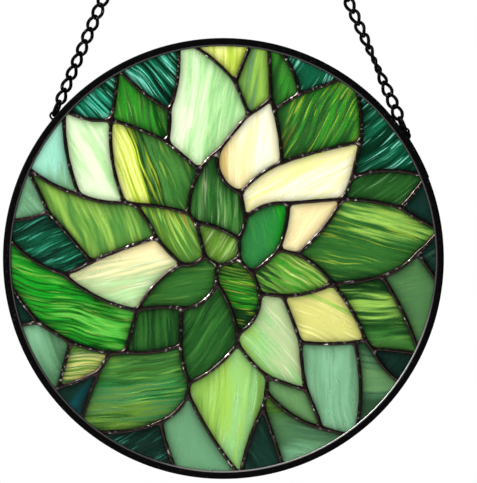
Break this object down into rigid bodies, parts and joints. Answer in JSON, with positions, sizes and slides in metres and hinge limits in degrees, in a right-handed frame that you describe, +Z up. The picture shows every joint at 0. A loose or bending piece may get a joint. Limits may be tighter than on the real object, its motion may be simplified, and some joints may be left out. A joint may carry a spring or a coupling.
{
  "type": "stained glass suncatcher",
  "caption": "Round leaded panel of green and cream glass petals in a black metal rim, hung by two strands of black chain from one ring.",
  "frame": {"origin": "where the hanging ring bears on its hook, at the top of the ring's hole", "axes": "+Z up, -Y out of the panel's front, +X to the right seen from the front"},
  "size_m": [0.2, 0.0062, 0.3548],
  "materials": {
    "emerald_glass": "deep emerald rippled sheet with light aqua streaks, glossy",
    "forest_glass": "dark green streaky sheet, glossy",
    "leaf_glass": "bright leaf green streaky sheet, glossy",
    "lime_glass": "yellow and lime streaky sheet, glossy",
    "banded_glass": "green sheet with bands of lime, glossy",
    "soft_green_glass": "softly clouded mid green sheet, glossy",
    "mint_glass": "pale mint opalescent sheet, glossy",
    "seafoam_glass": "blue-green seafoam opalescent sheet, glossy",
    "cream_glass": "cream and amber wispy sheet, glossy",
    "teal_glass": "very dark teal sheet, glossy",
    "solder": "dark patina solder with worn bright crests",
    "rim_black": "satin black",
    "chain_black": "satin black"
  },
  "bodies": {
    "root": {"rim": "rim_black", "solder_lines": "solder", "hanging_ring": "chain_black", "left_chain": "chain_black", "right_chain": "chain_black", "left_eye": "chain_black", "right_eye": "chain_black", "glass_emerald_tip_upper_left": "emerald_glass", "glass_emerald_tip_top": "emerald_glass", "glass_emerald_tip_upper_right": "emerald_glass", "glass_emerald_wing_right": "emerald_glass", "glass_emerald_wing_left": "emerald_glass", "glass_emerald_triangle": "emerald_glass", "glass_green_sliver": "forest_glass", "glass_broad_green_leaf": "forest_glass", "glass_dark_heart_petal": "forest_glass", "glass_dark_swept_leaf": "forest_glass", "glass_deep_green_petal": "forest_glass", "glass_dark_streaked_petal": "forest_glass", "glass_dark_banded_block": "forest_glass", "glass_streaky_green_leaf": "leaf_glass", "glass_lime_streak_leaf": "leaf_glass", "glass_heart_bud": "leaf_glass", "glass_lime_heart_petal": "leaf_glass", "glass_bright_green_leaf": "leaf_glass", "glass_lime_crescent": "lime_glass", "glass_yellow_green_leaf": "lime_glass", "glass_amber_tip_leaf": "lime_glass", "glass_striped_lime_petal": "lime_glass", "glass_olive_block": "lime_glass", "glass_meadow_leaf": "banded_glass", "glass_banded_broad_leaf": "banded_glass", "glass_banded_lime_leaf": "banded_glass", "glass_broad_banded_block": "banded_glass", "glass_olive_seafoam_leaf": "banded_glass", "glass_green_heart_petal": "soft_green_glass", "glass_soft_green_leaf": "soft_green_glass", "glass_soft_green_block": "soft_green_glass", "glass_soft_green_wedge": "soft_green_glass", "glass_mint_cream_leaf": "mint_glass", "glass_broad_mint_petal": "mint_glass", "glass_pale_lime_petal": "mint_glass", "glass_pale_green_petal": "mint_glass", "glass_pale_seafoam_wing": "seafoam_glass", "glass_small_seafoam_wedge": "seafoam_glass", "glass_seafoam_wedge_left": "seafoam_glass", "glass_seafoam_leaf": "seafoam_glass", "glass_seafoam_block": "seafoam_glass", "glass_upright_cream_petal": "cream_glass", "glass_long_cream_petal": "cream_glass", "glass_peach_leaf": "cream_glass", "glass_small_cream_petal": "cream_glass", "glass_yellow_cream_leaf": "cream_glass", "glass_teal_wedge_upper": "teal_glass", "glass_teal_wedge_right": "teal_glass", "glass_teal_wedge_left": "teal_glass", "glass_teal_triangle_left": "teal_glass", "glass_teal_triangle_bottom": "teal_glass", "glass_teal_wedge_lower_right": "teal_glass"}
  },
  "joints": []
}
